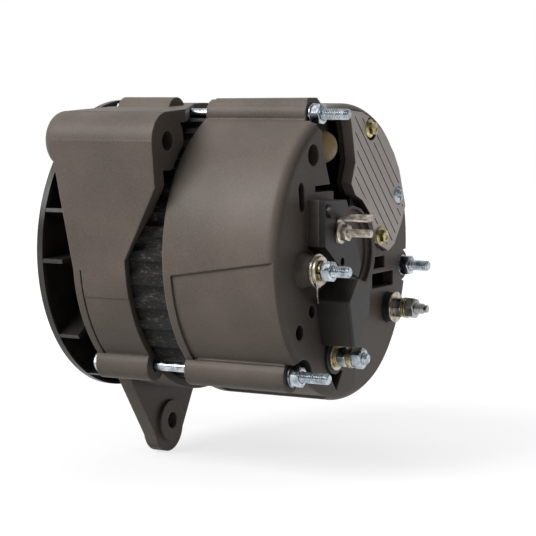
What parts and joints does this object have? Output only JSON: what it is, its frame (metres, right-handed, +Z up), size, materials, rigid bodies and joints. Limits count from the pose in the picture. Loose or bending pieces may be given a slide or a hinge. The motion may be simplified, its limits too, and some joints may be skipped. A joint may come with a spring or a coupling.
{
  "type": "alternator head",
  "caption": "Through-bolt alternator head with an open fan, hinge foot, adjusting ear, ribbed stator between cast housings, and rear terminals, suppressor and regulator cover.",
  "frame": {"origin": "on the shaft axis at the middle of the pulley seat", "axes": "+Y along the shaft from the drive end to the slip-ring end, +Z up with the adjusting ear hanging down, +X toward the hinge foot"},
  "size_m": [0.1702, 0.21, 0.1971],
  "materials": {
    "housing_paint": "satin dark brown-grey paint over cast aluminium",
    "cover_cast": "thin satin grey-brown paint on a die-cast cover",
    "lamination_steel": "black varnished steel laminations",
    "winding_wire": "enamelled copper wire under varnish",
    "zinc_steel": "clear zinc plated steel",
    "yellow_zinc": "yellow passivated zinc plate",
    "bearing_steel": "ground bearing steel",
    "machined_steel": "turned steel",
    "pole_iron": "forged pole steel, oiled",
    "fan_paint": "gloss black paint",
    "black_plastic": "glass filled black nylon",
    "can_plastic": "black moulded case",
    "tinned_steel": "tinned steel strip",
    "copper": "turned copper",
    "carbon": "copper graphite",
    "spring_steel": "spring wire",
    "sink_aluminium": "pressed aluminium plate",
    "diode_can": "nickel plated diode can",
    "beige_plastic": "cream nylon"
  },
  "bodies": {
    "housing": {"drive_end_housing": "housing_paint", "rear_housing": "housing_paint", "stator_core": "lamination_steel", "stator_winding": "winding_wire", "through_bolts": "zinc_steel", "through_bolt_washers": "zinc_steel", "through_bolt_nuts": "zinc_steel", "bearing_retainer": "machined_steel", "retainer_screws": "zinc_steel", "front_bearing_outer_race": "bearing_steel", "rear_bearing_outer_race": "bearing_steel", "inner_brush_spring": "spring_steel", "outer_brush_spring": "spring_steel", "brush_holder": "black_plastic", "brush_holder_screw": "zinc_steel", "field_stud": "yellow_zinc", "field_nut": "yellow_zinc", "field_tab": "tinned_steel", "battery_stud": "zinc_steel", "battery_insulator": "black_plastic", "battery_washers": "yellow_zinc", "battery_nut": "zinc_steel", "suppressor": "can_plastic", "suppressor_strap": "tinned_steel", "suppressor_lead": "tinned_steel", "tap_stud": "zinc_steel", "tap_insulator": "black_plastic", "tap_washers": "yellow_zinc", "tap_nuts": "zinc_steel", "ground_stud": "zinc_steel", "ground_collar": "black_plastic", "ground_washers": "yellow_zinc", "ground_nuts": "zinc_steel", "positive_heat_sink": "sink_aluminium", "negative_heat_sink": "sink_aluminium", "positive_diodes": "diode_can", "negative_diodes": "diode_can", "sink_spacers": "black_plastic", "sink_screws": "zinc_steel", "regulator_cover": "cover_cast", "regulator_module": "black_plastic", "cover_flange_screws": "yellow_zinc", "cover_pan_screw": "zinc_steel", "lead_cap": "beige_plastic"},
    "rotor": {"shaft": "machined_steel", "fan_key": "zinc_steel", "fan_spacer": "machined_steel", "fan": "fan_paint", "front_claw_pole": "pole_iron", "rear_claw_pole": "pole_iron", "field_coil_bobbin": "black_plastic", "field_coil": "winding_wire", "slip_ring_hub": "black_plastic", "slip_rings": "copper", "front_bearing_inner_race": "bearing_steel", "rear_bearing_inner_race": "bearing_steel"},
    "front_cage": {"front_bearing_balls": "bearing_steel"},
    "rear_cage": {"rear_bearing_balls": "bearing_steel"},
    "inner_brush": {"inner_brush": "carbon"},
    "outer_brush": {"outer_brush": "carbon"}
  },
  "joints": [
    {"name": "rotor_spin", "type": "hinge", "parent": "housing", "child": "rotor", "pos_m": [0, 0, 0], "axis": [0, 1, 0], "continuous": true},
    {"name": "front_cage_spin", "type": "hinge", "parent": "housing", "child": "front_cage", "pos_m": [0, 0.042, 0], "axis": [0, 1, 0], "continuous": true},
    {"name": "rear_cage_spin", "type": "hinge", "parent": "housing", "child": "rear_cage", "pos_m": [0, 0.1435, 0], "axis": [0, 1, 0], "continuous": true},
    {"name": "inner_brush_slide", "type": "slide", "parent": "housing", "child": "inner_brush", "axis": [0.9135, 0, 0.4067], "range_m": [0, 0.005], "stiffness_N_per_m": 80, "deforming": ["inner_brush_spring"]},
    {"name": "outer_brush_slide", "type": "slide", "parent": "housing", "child": "outer_brush", "axis": [0.9135, 0, 0.4067], "range_m": [0, 0.005], "stiffness_N_per_m": 80, "deforming": ["outer_brush_spring"]}
  ],
  "couplings": [
    {"joint": "front_cage_spin", "follows": "rotor_spin", "ratio": 0.3844},
    {"joint": "rear_cage_spin", "follows": "rotor_spin", "ratio": 0.384}
  ]
}
